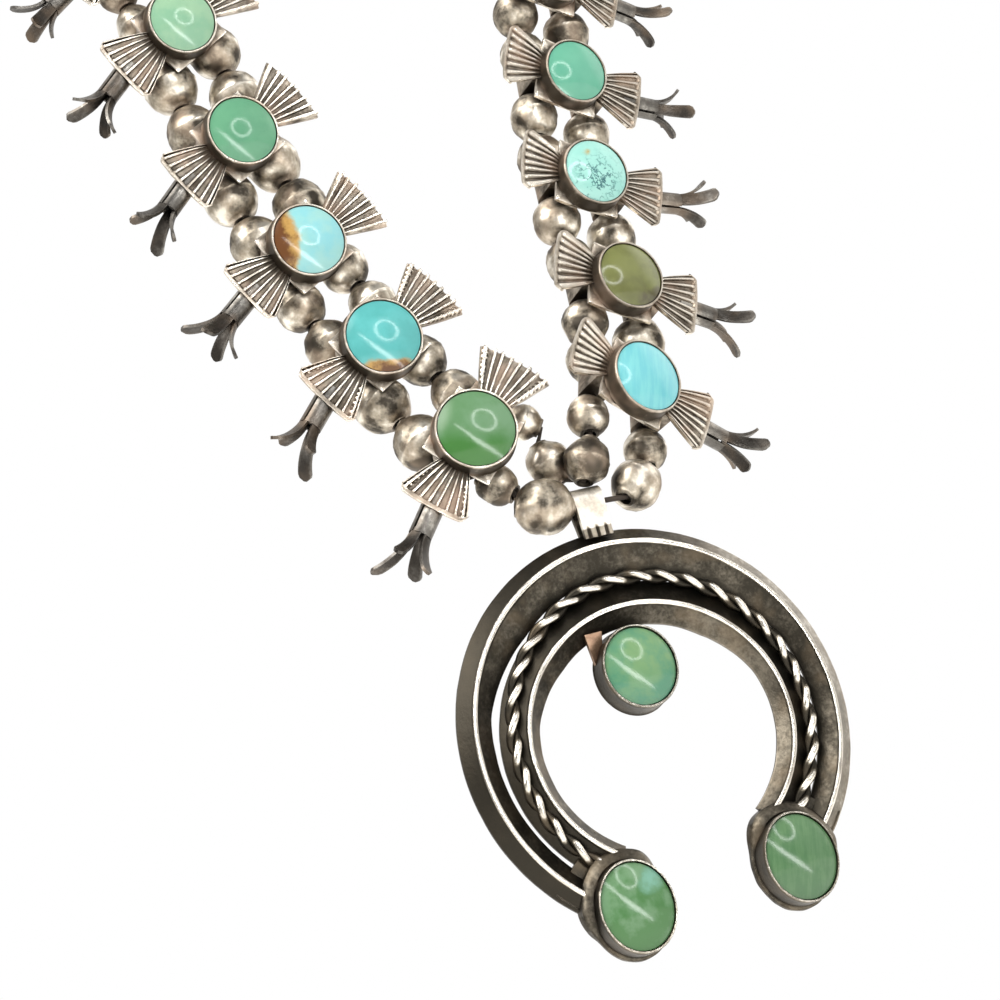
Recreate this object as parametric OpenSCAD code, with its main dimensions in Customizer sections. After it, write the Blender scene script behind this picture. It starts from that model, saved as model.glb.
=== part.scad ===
// Two-string squash blossom necklace, hanging as it does round a neck.
// Up is +Z, the wearer faces -Y, and the origin is where the strings rest on the nape.

/* [Crescent] */
// Width of the crescent pendant
crescent_w = 70; // [60:1:80]
// Width of the outer three-sided band
outer_band_w = 6.3; // [5:0.1:7.5]
// Width of the inner three-sided band
inner_band_w = 6.9; // [5.8:0.1:7.4]
// Height of both bands at their ridge
band_h = 2.8; // [2:0.1:3.6]
// Thickness of the twisted rope wire between the bands
rope_d = 2.3; // [1.8:0.1:2.8]
// Clear slit between the outer band and the rope
slit_w = 0.45; // [0.3:0.05:0.8]
// How much the inner band sits low, which narrows the crescent at its ends
band_drop = 1.2; // [0.6:0.1:1.8]
// Height of the inner band's opening as a share of its width
band_squash = 0.95; // [0.93:0.005:1]
// Angle from the top to each end of the bands
band_sweep = 139; // [130:1:144]

/* [Crescent stones] */
// Width of the two end stones
end_stone_w = 12.2; // [10:0.1:14]
// Height of the two end stones
end_stone_h = 14.2; // [12:0.1:16]
// Width of the middle stone
middle_stone_w = 12.4; // [10:0.1:14]
// Height of the middle stone
middle_stone_h = 13.4; // [11:0.1:15]
// Distance between the middles of the end stones
end_stone_span = 30.2; // [27:0.1:33]
// Height of the end stones' cups above the crescent's back
end_cup_h = 4.9; // [4:0.1:6]
// Depth of the middle stone's cup
middle_cup_h = 4.4; // [3.5:0.1:5.5]
// Gap between the inner band and the middle stone's cup
middle_cup_gap = 1.7; // [0.8:0.1:2.5]
// How far the middle stone hangs off the crescent's middle, to the viewer's left
middle_aside = 1.2; // [0:0.1:2]

/* [Bail] */
// Width of the flat bail strip
bail_w = 5.4; // [4:0.1:6]
// Thickness of the bail strip
bail_t = 0.9; // [0.7:0.1:1.2]
// Width of the hole that the string passes
bail_bore_d = 3.6; // [3:0.1:4]

/* [Station] */
// Distance from one station to the next along the strand
pitch = 25.2; // [24.4:0.1:26.5]
// Side of the square plate
plate_w = 13; // [12:0.1:14]
// Thickness of the plate
plate_t = 0.9; // [0.7:0.1:1.3]
// Slope width along each side of the plate
plate_slope_w = 1.9; // [1:0.1:2.4]
// Thickness of the stone cup walls
cup_wall = 0.45; // [0.35:0.05:0.6]
// Height of the stone cup above the plate
cup_h = 3.2; // [2.4:0.1:4.2]
// Height of the stone's dome above its cup
dome_h = 1.3; // [0.8:0.1:2]
// Distance from the station's middle to a fan's outer edge
fan_reach = 14.8; // [13.5:0.1:16.5]
// Width of a fan at its outer edge
fan_w = 13.6; // [11:0.1:15]
// Width of a fan at the stone cup
fan_root_w = 5.4; // [4:0.1:7]
// Thickness of a fan
fan_t = 0.9; // [0.7:0.1:1.2]
// Number of raised ridges on a fan
fan_ridges = 8; // [6:1:10]
// Height of the ridges
ridge_h = 0.4; // [0.2:0.05:0.6]
// Lean of the left stations across their strand, in degrees
lean_left = 20; // [10:1:24]
// Lean of the right stations across their strand, in degrees
lean_right = 11; // [4:1:20]
// Angle that the left stations tip forward on their strings
tip_left = 17; // [0:1:17]
// Angle that the right stations tip forward on their strings
tip_right = 12; // [0:1:17]
// How far outward of its strings' middle a left station sits
seat_left = 1.5; // [0:0.1:1.6]
// How far inward of its strings' middle a right station sits
seat_right = 1; // [0:0.1:1.6]

/* [Blossom] */
// Diameter of the rolled stem
stem_d = 4.2; // [3.4:0.1:4.8]
// Length of the stem past the fan
stem_len = 4; // [2.5:0.1:6]
// Width of a petal
petal_w = 1.9; // [1.4:0.1:2.4]
// Thickness of a petal
petal_t = 0.7; // [0.5:0.05:1]
// Radius of a petal's curl
petal_curl = 9; // [7:0.5:12]
// Angle that a petal curls through
petal_turn = 56; // [40:1:65]

/* [Strings] */
// Distance from the strand's middle line to each string
string_offset = 5.85; // [5.5:0.05:6.3]
// The same distance at the nape
nape_offset = 4.7; // [4.5:0.05:5.4]
// Diameter of the thread
thread_d = 1; // [0.7:0.1:1.3]
// Diameter of the holes that the thread passes
bore_d = 2.4; // [2.1:0.1:2.8]
// Length of a station's tube along the string
tube_len = 5; // [4:0.1:5.4]
// Outer diameter of a station's tube
tube_d = 4.6; // [4:0.1:5.2]
// Clear gap between neighbours on a string
bead_gap = 0.2; // [0.15:0.05:0.4]
// Diameter of a bead as a share of its length
bead_round = 0.96; // [0.9:0.01:0.99]
// Beads on each string between the last station and the clasp
back_beads = 20; // [18:1:22]
// How much the beads shrink towards the nape, as a share
back_grade = 0.07; // [0:0.01:0.12]

/* [Clasp] */
// Length of the closed clasp along the strand
clasp_len = 19; // [15:0.5:24]
// Thickness of the clasp's two end bars
clasp_bar = 3.4; // [3:0.1:4.4]

/* [Stone diameters] */
// Stone diameters on the left, from the crescent up
left_stones = [13.4, 13.2, 12.8, 12.5, 12, 11.8];
// Stone diameters on the right, from the crescent up
right_stones = [13, 12.4, 12.6, 12.2, 12, 11.8];

/* [Hidden] */

stations = 6;
LEFT = -1;
RIGHT = 1;
INNER = -1;
OUTER = 1;
stone_gap = 0.15;
stone_lift = 0.3;
eps = 0.05;

// Route of the strand's middle line on the right, from the first station up to the nape.
// Across, back, up, the way the strand faces (turn from the front, lift above level), then the
// left strand's: how much further in it lies, how much lower, and its own turn.
ROUTE = [
    [14.2, 4.2, 20.3, 20, 0, -0.5, 1.5, 12],
    [21.9, 11.2, 40.2, 15, 3, -1.2, 1.1, 8],
    [26, 17.4, 68.9, 13, 3, -5.2, 2.4, 4],
    [31.5, 21.6, 94.2, 14, 2, -5, 0.3, 2],
    [35.9, 23.8, 118.5, 16, 2, -4.4, -1.3, 5],
    [41.2, 25.4, 142, 22, 4, -4, 1, 12],
    [50, 31.5, 166, 34, 14, -2.5, 0, 30],
    [59.5, 46, 189, 56, 28, -1, 0, 56],
    [64.5, 68, 208, 80, 36, 0, 0, 80],
    [62.5, 94, 220, 104, 36, 0, 0, 104],
    [50, 116, 227, 132, 30, 0, 0, 132],
    [27, 129.5, 230.5, 158, 24, 0, 0, 158],
    [0, 133.5, 231.5, 180, 22, 0, 0, 180]
];
// Ends of the beads beside the crescent, drawn as if on the right: first the right side's, then
// the left's. Each row is where a bead starts and where it ends: across, back, up.
HUB_OUTER = [
    [[[7.4, -2, 1.6], [13.8, 1, 5.8]], [[14.9, 1.7, 6.8], [17.3, 4.7, 14.3]]],
    [[[3.1, -1.6, 2.2], [12.4, -0.6, 4.4]], [[10.9, 0.8, 7], [15.6, 3.6, 12.8]]]
];
HUB_INNER = [
    [[[0.7, -2.2, 6], [4.5, -2, 13.1]], [[5.1, -0.8, 14.2], [7.7, 1.5, 21.8]]],
    [[[1.4, 3.3, 8.6], [3.2, 3.4, 15.9]], [[1.9, 2.7, 18.3], [7.8, 2.4, 22.2]]]
];
// Hinge of the bail on the outer string, and the nape, both from the same zero.
HINGE = [0, -1.3, 2.6];
// Depth from the strand's middle line to the back of the neck
nape_depth = 4.2;
NAPE = [0, ROUTE[len(ROUTE) - 1][1] - nape_depth, ROUTE[len(ROUTE) - 1][2]];

// Curve of the route as many short steps, and the length run to each
route_steps = 12;
function smooth(a, b, c, d, u) = b + 0.5 * u * (c - a
    + u * (2 * a - 5 * b + 4 * c - d + u * (3 * (b - c) + d - a)));
function mirrored(p) = [-p[0], p[1], p[2], 360 - p[3], p[4], p[5], p[6], 360 - p[7]];
route_ends = concat([2 * ROUTE[0] - ROUTE[1]], ROUTE, [mirrored(ROUTE[len(ROUTE) - 2])]);
CURVE = concat([for (i = [1 : len(ROUTE) - 1]) for (k = [0 : route_steps - 1])
    smooth(route_ends[i - 1], route_ends[i], route_ends[i + 1], route_ends[i + 2], k / route_steps)],
    [ROUTE[len(ROUTE) - 1]]);
function xyz(p) = [p[0], p[1], p[2]];
RUN = [for (i = 0, s = 0; i < len(CURVE);
    s = s + (i + 1 < len(CURVE) ? norm(xyz(CURVE[i + 1]) - xyz(CURVE[i])) : 0), i = i + 1) s];
route_len = RUN[len(RUN) - 1];
TRACKS = [for (c = [0 : 7]) [for (i = [0 : len(CURVE) - 1]) [RUN[i], CURVE[i][c]]]];
function on_route(s) = [for (c = [0 : 2]) lookup(s, TRACKS[c])];
function middle_at(s, side) = on_route(s)
    - (side == LEFT ? [lookup(s, TRACKS[5]), 0, lookup(s, TRACKS[6])] : [0, 0, 0]);

// Directions on the route: along it, out of the wearer's body, and across towards the outer string
function unit(v) = v / norm(v);
function along(s) = unit(on_route(s + 1) - on_route(s - 1));
function facing(s, side) = let (turn = lookup(s, TRACKS[side == RIGHT ? 3 : 7]),
    lift = lookup(s, TRACKS[4]), t = along(s),
    n = [sin(turn) * cos(lift), -cos(turn) * cos(lift), sin(lift)]) unit(n - t * (n * t));
function across(s, side) = cross(along(s), facing(s, side));
function lean_of(side) = side == LEFT ? lean_left : lean_right;
// Share of the lean and of the string spacing that is left at a place on the way to the nape
function fade(s, from, to) = s < from ? 1 : s > to ? 0 : (to - s) / (to - from);
last_station = (stations - 1) * pitch;
// Length of strand past the last station over which the lean dies away
lean_fade_len = 50;
function leaned(s, side) = let (a = lean_of(side) * fade(s, last_station, last_station + lean_fade_len))
    across(s, side) * cos(a) - along(s) * sin(a);
function offset_at(s) = nape_offset
    + (string_offset - nape_offset) * fade(s, last_station, route_len);
function sided(p, side) = [p[0] * side, p[1], p[2]];

// A place on one string, right side, before it is mirrored for the left
function on_string(s, side, row) = middle_at(s, side) + leaned(s, side) * offset_at(s) * row;
function station_s(i) = (i - 1) * pitch;
function tube_at(i, side, row) = on_string(max(station_s(i), eps), side, row);
function tube_dir(i, side, row) = let (
    before = i == 1 ? hub_beads(side, row)[1][1] : tube_at(i - 1, side, row),
    after = i == stations ? on_string(station_s(i) + pitch, side, row) : tube_at(i + 1, side, row))
    unit(unit(after - tube_at(i, side, row)) + unit(tube_at(i, side, row) - before)
    * (i == 1 ? 0.4 : 1));
function hub_beads(side, row) = (row == OUTER ? HUB_OUTER : HUB_INNER)[side == RIGHT ? 0 : 1];
function tube_end(i, side, row, end) = tube_at(i, side, row)
    + tube_dir(i, side, row) * end * (tube_len + bead_gap) / 2;

// Two beads between one station and the next: the point where they meet lies on a smooth bend
function between(i, side, row) = let (a = tube_end(i, side, row, 1),
    b = tube_end(i + 1, side, row, -1), d = norm(b - a),
    m = (a + b) / 2 + (tube_dir(i, side, row) - tube_dir(i + 1, side, row)) * d / 8) [a, m, b];
// Beads from the last station to the clasp
back_start = last_station + (tube_len + bead_gap) / 2;
back_end = route_len - clasp_len / 2 - bead_gap;
function back_s(k) = let (u = k / back_beads)
    back_start + (back_end - back_start) * u * (1 + back_grade * (1 - u));
function back_point(k, side, row) = k == 0 ? tube_end(stations, side, row, 1)
    : on_string(back_s(k), side, row);
// One string from the crescent to inside the clasp: its points, and what lies between each two
function string_path(side, row) = concat(
    [for (b = hub_beads(side, row)) for (k = [0, 1]) b[k]],
    [for (i = [1 : stations]) each concat([tube_end(i, side, row, -1), tube_end(i, side, row, 1)],
        i < stations ? [between(i, side, row)[1]] : [])],
    [for (k = [1 : back_beads]) back_point(k, side, row)],
    [clasp_seat(row)]);
string_kinds = concat(["bead", "bare", "bead", "bare"],
    [for (i = [1 : stations - 1]) each ["tube", "bead", "bead"]], ["tube"],
    [for (k = [1 : back_beads]) "bead"], ["bare"]);
// Room that a bead leaves at its end where the string bends
function bend(p, k) = k < 1 || k > len(p) - 2 ? 0
    : acos(min(1, unit(p[k] - p[k - 1]) * unit(p[k + 1] - p[k])));
function bend_room(p, k) = bead_gap / 2 + bead_end_r * tan(min(bend(p, k), 40) / 2);
function clasp_seat(row) = on_route(route_len) + [clasp_len / 2 - clasp_bar * 0.6, 0, 0]
    + across_nape * nape_offset * row;
across_nape = across(route_len - 1.01, RIGHT);
bead_end_r = bore_d / 2 + 0.3;
function reversed(list) = [for (i = [len(list) - 1 : -1 : 0]) list[i]];

// Puts +Z along a direction, or a frame on three given axes
module toward(p, dir) {
    translate(p)
        rotate([0, acos(dir[2] / norm(dir)), atan2(dir[1], dir[0])]) children();
}
module framed(p, x, y, z) {
    multmatrix([[x[0], y[0], z[0], p[0]], [x[1], y[1], z[1], p[1]], [x[2], y[2], z[2], p[2]],
        [0, 0, 0, 1]]) children();
}
// Everything is drawn from the crescent's zero and then carried to the nape's
module placed() {
    translate(-NAPE) children();
}

// A hollow-made bead of two soldered halves, drilled from end to end
bead_angles = [0, 16, 34, 52, 68];
module bead(len) {
    r = len * bead_round / 2;
    side = [for (a = bead_angles) [max(bead_end_r, r * pow(cos(a), 0.92)), len / 2 * sin(a)]];
    top = [[bead_end_r, len / 2], [bore_d / 2, len / 2]];
    half = concat(side, top);
    rotate_extrude($fn = 40)
        polygon(concat([for (p = reversed(half)) [p[0], -p[1]]], [for (i = [1 : len(half) - 1]) half[i]]));
}
module string_of_beads(side, row) {
    path = [for (p = string_path(side, row)) sided(p, side)];
    color([0.62, 0.59, 0.54])
        placed()
            for (k = [0 : len(string_kinds) - 1])
                if (string_kinds[k] == "bead") {
                    dir = unit(path[k + 1] - path[k]);
                    a = path[k] + dir * bend_room(path, k);
                    z = path[k + 1] - dir * bend_room(path, k + 1);
                    toward((a + z) / 2, dir) bead(norm(z - a));
                }
}

// A thread: one round tube through every point of its string
thread_sides = 8;
function carried(v, t) = unit(v - t * (v * t));
module thread(row) {
    left = [for (p = reversed(string_path(LEFT, row))) sided(p, LEFT)];
    path = concat(left, string_path(RIGHT, row));
    n = len(path);
    dirs = [for (i = [0 : n - 1]) unit(path[min(i + 1, n - 1)] - path[max(i - 1, 0)])];
    ups = [for (i = 0, v = carried([0, 0, 1], dirs[0]); i < n;
        v = carried(v, dirs[min(i + 1, n - 1)]), i = i + 1) v];
    points = [for (i = [0 : n - 1]) for (k = [0 : thread_sides - 1])
        let (a = k * 360 / thread_sides, w = cross(dirs[i], ups[i]))
        path[i] + (ups[i] * cos(a) + w * sin(a)) * thread_d / 2];
    sides = [for (i = [0 : n - 2]) for (k = [0 : thread_sides - 1])
        let (a = i * thread_sides + k, b = i * thread_sides + (k + 1) % thread_sides)
        [a, a + thread_sides, b + thread_sides, b]];
    caps = [[for (k = [0 : thread_sides - 1]) k],
        [for (k = [thread_sides - 1 : -1 : 0]) (n - 1) * thread_sides + k]];
    color([0.3, 0.26, 0.22])
        placed()
            polyhedron(points, concat(sides, caps), convexity = 8);
}

// Heights in a station above its strings
bead_r = (pitch - tube_len) / 4;
// Room under the plate for its edge that tips towards the beads
tip_room = 2;
plate_z = bead_r + 0.25 + tip_room;
plate_top = plate_z + plate_t;
cup_top = plate_top + cup_h;
module plate() {
    inner = plate_w / 2 - plate_slope_w;
    outer = plate_w / 2;
    corners = [[-1, -1], [1, -1], [1, 1], [-1, 1]];
    drop = plate_t * 0.6;
    polyhedron(
        concat([for (c = corners) [c[0] * outer, c[1] * outer, plate_z]],
            [for (c = corners) [c[0] * outer, c[1] * outer, plate_top - drop]],
            [for (c = corners) [c[0] * inner, c[1] * inner, plate_top]]),
        [[0, 1, 2, 3], [0, 4, 5, 1], [1, 5, 6, 2], [2, 6, 7, 3], [3, 7, 4, 0],
            [4, 8, 9, 5], [5, 9, 10, 6], [6, 10, 11, 7], [7, 11, 8, 4], [11, 10, 9, 8]]);
}
// Fan outline, and the ridges that spread from its root to its outer edge
module fan(root) {
    z = plate_top - eps;
    linear_edge = fan_reach - 0.9;
    translate([0, 0, z])
        linear_extrude(fan_t)
            polygon([[-fan_root_w / 2, root], [fan_root_w / 2, root], [fan_w / 2, linear_edge],
                [0, fan_reach], [-fan_w / 2, linear_edge]]);
    translate([0, 0, z + fan_t - eps])
        linear_extrude(ridge_h)
            for (k = [0 : fan_ridges - 1]) {
                u = (k + 0.5) / fan_ridges - 0.5;
                half = 0.27 / fan_ridges;
                edge = linear_edge - 0.35 + (1 - abs(u) * 2) * 0.9;
                polygon([[fan_root_w * (u - half), root + 1], [fan_root_w * (u + half), root + 1],
                    [fan_w * (u + half), edge], [fan_w * (u - half), edge]]);
            }
}
// Rolled stem behind the outer fan, split into four petals that curl outwards
stem_z = plate_top - stem_d / 2 + 0.3;
stem_end = fan_reach + stem_len;
module blossom() {
    translate([0, fan_reach - 4, stem_z])
        rotate([-90, 0, 0]) {
            cylinder(d = stem_d, h = stem_end - fan_reach + 4, $fn = 32);
            translate([0, 0, stem_end - fan_reach + 4 - eps])
                for (k = [0 : 3])
                    rotate([0, 0, k * 90]) petal();
        }
}
module petal() {
    start = stem_d / 2 - petal_t;
    translate([start + petal_curl, petal_w / 2, -0.6])
        rotate([90, 0, 0])
            rotate([0, 0, 180 - petal_turn])
                rotate_extrude(angle = petal_turn, $fn = 64)
                    translate([petal_curl - petal_t, 0]) square([petal_t, petal_w]);
}
// How much lower than the plate's own height a strap ends, so that it stays under the tipped plate
strap_sink = 0.1;
// Strap on the back of a station that the thread passes through, drawn up its own hole
module tube_body(rise) {
    translate([0, 0, -tube_len / 2]) {
        cylinder(d = tube_d, h = tube_len, $fn = 32);
        translate([0, -tube_d / 2, 0]) cube([rise, tube_d, tube_len]);
    }
}
// A station tips forward on its strings
function tip_of(side) = side == LEFT ? tip_left : tip_right;
function tipped(s, side) = let (n = facing(s, side), a = tip_of(side))
    n * cos(a) + cross(leaned(s, side), n) * sin(a);
function seat_of(side) = side == LEFT ? seat_left : -seat_right;
module on_station(side, i) {
    s = max(station_s(i), eps);
    n = sided(tipped(s, side), side);
    b = sided(leaned(s, side), side);
    framed(sided(middle_at(s, side), side) + b * seat_of(side), cross(b, n), b, n) children();
}
module station(side, i) {
    stone_d = stone_size(side, i);
    n = sided(facing(max(station_s(i), eps), side), side);
    color([0.6, 0.57, 0.52])
        placed()
            difference() {
                union() {
                    on_station(side, i) {
                        plate();
                        translate([0, 0, plate_top - eps])
                            cylinder(d = stone_d + 2 * (cup_wall + stone_gap), h = cup_h + eps, $fn = 64);
                        fan(stone_d / 2 - 0.6);
                        mirror([0, 1, 0]) fan(stone_d / 2 - 0.6);
                        blossom();
                    }
                    for (row = [INNER, OUTER])
                        tube_frame(side, i, row, n) tube_body(plate_z - strap_sink);
                }
                on_station(side, i)
                    translate([0, 0, plate_top + stone_lift])
                        cylinder(d = stone_d + 2 * stone_gap, h = cup_h + 1, $fn = 64);
                for (row = [INNER, OUTER])
                    tube_frame(side, i, row, n)
                        translate([0, 0, -tube_len]) cylinder(d = bore_d, h = 2 * tube_len, $fn = 32);
            }
}
module tube_frame(side, i, row, n) {
    z = sided(tube_dir(i, side, row), side);
    x = carried(n, z);
    framed(sided(tube_at(i, side, row), side), x, cross(z, x), z) children();
}
function stone_size(side, i) = (side == LEFT ? left_stones : right_stones)[i - 1];

// Round or oval cabochon: a straight girdle with a domed top
module cabochon(w, h, girdle, dome) {
    r = h / 2;
    ball = (r * r + dome * dome) / (2 * dome);
    scale([w / h, 1, 1])
        intersection() {
            cylinder(r = r, h = girdle + dome, $fn = 64);
            translate([0, 0, girdle + dome - ball]) sphere(r = ball, $fn = 128);
        }
}
module stone(side, i) {
    color([0.42, 0.74, 0.66])
        placed()
            on_station(side, i)
                translate([0, 0, plate_top + stone_lift + stone_gap])
                    cabochon(stone_size(side, i), stone_size(side, i), cup_h - stone_lift - 0.35, dome_h);
}

// Crescent: drawn flat with its back on z = 0 and its middle at the bands' centre, then stood up
outer_r = crescent_w / 2;
outer_inner_r = outer_r - outer_band_w;
rope_r = outer_inner_r - slit_w - rope_d / 2;
inner_outer_r = rope_r + rope_d / 2 - 0.15;
inner_inner_r = inner_outer_r - inner_band_w;
rope_drop = 0.35;
crescent_top = -3.2;
bail_base = 2;
end_x = end_stone_span / 2;
end_y = -sqrt(pow(outer_r - 3.4, 2) - pow(end_x, 2));
middle_y = inner_inner_r * band_squash - band_drop - middle_cup_gap - middle_stone_h / 2 - cup_wall - stone_gap;
module band(edge_r, width, ridge_share) {
    flat = 0.35;
    ridge = edge_r - width * ridge_share;
    rotate([0, 0, 90 - band_sweep])
        rotate_extrude(angle = 2 * band_sweep, $fn = 128)
            polygon([[edge_r - width, 0], [edge_r, 0], [edge_r, 0.5], [ridge + flat / 2, band_h],
                [ridge - flat / 2, band_h], [edge_r - width, 0.5]]);
}
module rope() {
    translate([0, -rope_drop, rope_d / 2])
        rotate([0, 0, 90 - band_sweep])
            rotate_extrude(angle = 2 * band_sweep, $fn = 128)
                translate([rope_r, 0]) circle(d = rope_d, $fn = 24);
}
module oval(w, h, t) {
    scale([w / h, 1, 1]) cylinder(d = h, h = t, $fn = 64);
}
module cup(w, h, height) {
    wall = 2 * (cup_wall + stone_gap);
    oval(w + wall, h + wall, height);
}
module cup_hole(w, h, height, floor_t) {
    translate([0, 0, floor_t]) oval(w + 2 * stone_gap, h + 2 * stone_gap, height);
}
cup_floor = 1.4;
module end_cup() {
    cup(end_stone_w, end_stone_h, end_cup_h);
    oval(end_stone_w + 2.6, end_stone_h + 2.6, 1);
}
// Plate that carries each end cup and ties the two bands and the rope together
module end_plate() {
    near = band_sweep - 11;
    far = band_sweep + 6;
    polar = [[outer_r - 0.4, near], [outer_r - 0.2, far], [inner_inner_r + 3, far],
        [inner_inner_r + 0.8, near]];
    linear_extrude(1.1)
        polygon([for (p = polar) [p[0] * sin(p[1]), p[0] * cos(p[1])]]);
}
// Tab that holds the middle cup to the inner band: its width, thickness and how far it runs on
tab_w = 5.2;
tab_t = 1;
tab_hold = 2.6;
// Flat strip bent over the string: an eye whose two legs close on the crescent's top edge
module bail() {
    r = bail_bore_d / 2 + bail_t;
    translate([-bail_w / 2, 0, 0])
        rotate([90, 0, 90])
            linear_extrude(bail_w)
                difference() {
                    union() {
                        circle(r = r, $fn = 48);
                        polygon([[-r, 0], [r, 0], [bail_base, crescent_top - HINGE[2] - 1.2],
                            [-bail_base, crescent_top - HINGE[2] - 1.2]]);
                    }
                    circle(d = bail_bore_d, $fn = 48);
                    polygon([[-bail_bore_d / 2, 0], [bail_bore_d / 2, 0],
                        [0.4, crescent_top - HINGE[2] + 0.6], [-0.4, crescent_top - HINGE[2] + 0.6]]);
                }
}
module stood() {
    translate([0, crescent_back, crescent_top - outer_r])
        rotate([90, 0, 0]) children();
}
crescent_back = 0;
module naja() {
    color([0.55, 0.52, 0.47])
        placed() {
            translate(HINGE) bail();
            stood()
                difference() {
                    union() {
                        band(outer_r, outer_band_w, 0.43);
                        rope();
                        translate([0, -band_drop, 0])
                            scale([1, band_squash, 1]) band(inner_outer_r, inner_band_w, 0.66);
                        for (side = [LEFT, RIGHT]) {
                            scale([side, 1, 1]) end_plate();
                            translate([side * end_x, end_y, 0]) end_cup();
                        }
                        translate([-middle_aside, middle_y, 0]) cup(middle_stone_w, middle_stone_h, middle_cup_h);
                        translate([-middle_aside - tab_w / 2, middle_y + middle_stone_h / 2 - 0.5, 0])
                            cube([tab_w, middle_cup_gap + tab_hold, tab_t]);
                        translate([-bail_w / 2, outer_inner_r - slit_w - 1, 0])
                            cube([bail_w, outer_band_w, tab_t]);
                    }
                    for (side = [LEFT, RIGHT])
                        translate([side * end_x, end_y, 0])
                            cup_hole(end_stone_w, end_stone_h, end_cup_h, cup_floor);
                    translate([-middle_aside, middle_y, 0])
                        cup_hole(middle_stone_w, middle_stone_h, middle_cup_h, cup_floor);
                }
        }
}
module naja_stone(x, y, w, h, cup) {
    color([0.4, 0.68, 0.5])
        placed()
            stood()
                translate([x, y, cup_floor + stone_gap])
                    cabochon(w, h, cup - cup_floor - stone_gap - 0.3, dome_h + 0.3);
}

// Closed hook and eye in one piece, between the two pairs of string ends
module clasp() {
    centre = on_route(route_len);
    up = unit([0, across_nape[1], across_nape[2]]);
    out = cross([1, 0, 0], up);
    bar_h = 2 * nape_offset + clasp_bar;
    color([0.6, 0.57, 0.52])
        placed()
            framed(centre, [1, 0, 0], up, out)
                difference() {
                    union() {
                        for (side = [LEFT, RIGHT])
                            translate([side * (clasp_len - clasp_bar) / 2, 0, 0])
                                cube([clasp_bar, bar_h, clasp_bar], center = true);
                        cube([clasp_len - clasp_bar, clasp_bar, 1.6], center = true);
                        cylinder(d = clasp_bar * 2.2, h = 1.8, center = true, $fn = 48);
                    }
                    cylinder(d = clasp_bar, h = 4, center = true, $fn = 48);
                    for (side = [LEFT, RIGHT])
                        for (row = [INNER, OUTER])
                            translate([side * clasp_len / 2, row * nape_offset, 0])
                                rotate([0, -side * 90, 0])
                                    translate([0, 0, -1])
                                        cylinder(d = bore_d, h = clasp_bar * 0.8 + 1, $fn = 32);
                }
}

naja();
naja_stone(-end_x, end_y, end_stone_w, end_stone_h, end_cup_h);  // naja_stone_left
naja_stone(end_x, end_y, end_stone_w, end_stone_h, end_cup_h);  // naja_stone_right
naja_stone(-middle_aside, middle_y, middle_stone_w, middle_stone_h, middle_cup_h);  // naja_stone_middle
for (i = [1 : stations]) {
    station(LEFT, i);
    station(RIGHT, i);
    stone(LEFT, i);
    stone(RIGHT, i);
}
string_of_beads(LEFT, INNER);  // beads_left_inner
string_of_beads(LEFT, OUTER);  // beads_left_outer
string_of_beads(RIGHT, INNER);  // beads_right_inner
string_of_beads(RIGHT, OUTER);  // beads_right_outer
thread(INNER);  // thread_inner
thread(OUTER);  // thread_outer
clasp();
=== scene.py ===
import math
import random

import bmesh
import bpy
import numpy as np
from mathutils import Matrix, Vector, noise


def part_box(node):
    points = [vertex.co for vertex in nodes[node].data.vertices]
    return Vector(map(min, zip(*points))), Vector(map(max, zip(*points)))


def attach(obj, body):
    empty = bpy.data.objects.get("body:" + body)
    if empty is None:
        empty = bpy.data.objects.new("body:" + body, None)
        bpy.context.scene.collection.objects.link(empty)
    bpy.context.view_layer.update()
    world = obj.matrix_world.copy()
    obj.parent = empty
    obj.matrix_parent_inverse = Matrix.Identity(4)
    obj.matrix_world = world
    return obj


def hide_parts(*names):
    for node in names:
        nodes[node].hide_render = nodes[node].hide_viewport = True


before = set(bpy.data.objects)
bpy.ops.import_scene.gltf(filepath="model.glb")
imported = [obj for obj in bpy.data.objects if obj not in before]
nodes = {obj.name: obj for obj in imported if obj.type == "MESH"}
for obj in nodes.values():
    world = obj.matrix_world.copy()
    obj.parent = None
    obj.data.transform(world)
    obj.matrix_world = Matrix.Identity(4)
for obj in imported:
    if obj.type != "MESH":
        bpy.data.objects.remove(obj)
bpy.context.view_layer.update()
scene = bpy.context.scene

MM = 0.001
LEFT, RIGHT = "l", "r"
STATIONS = 6

# Sizes of a station in millimetres, with x along the strings, y towards the blossom and z off the plate
PLATE_Z, PLATE_T, PLATE_W = 7.3, 0.9, 13.0
PLATE_TOP = PLATE_Z + PLATE_T
CUP_H, CUP_WALL, STONE_GAP, STONE_BASE, STONE_RISE = 3.2, 0.45, 0.15, 8.65, 1.3
FAN_REACH, FAN_W, FAN_ROOT, RIDGES = 16.2, 13.6, 4.2, 8
STEM_D, STEM_LEN, STEM_BACK, STEM_WALL = 4.2, 4.0, 4.0, 0.55
PETAL_W, PETAL_T, PETAL_CURL, PETAL_TURN = 1.9, 0.7, 9.0, 56.0
STRAP_REACH = 10.4

# In metres from the stone's middle: how far the blossom starts, and how deep the stone's lowest rim is
BLOSSOM_FROM, RIM_DEPTH = 0.0175, 0.0002

# Sizes of the crescent in millimetres, with x to the right, y up and z to the front, and sweeps in degrees
CRESCENT_R, OUTER_W, INNER_W, BAND_H, ROPE_D = 35.0, 6.0, 6.9, 2.8, 2.3
BAND_SWEEP, INNER_SWEEP = 141.0, 145.0
INNER_R, INNER_DROP, INNER_SQUASH = 28.1, 1.2, 0.95
ROPE_R, ROPE_DROP, ROPE_ASIDE, ROPE_WIRE, ROPE_TWIST, ROPE_TURNS = 26.5, 0.6, 0.6, 0.72, 0.62, 13.4
BAIL_R, BAIL_W, BAIL_LEG, BAIL_T = 2.25, 5.4, 7.0, 0.85

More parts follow.
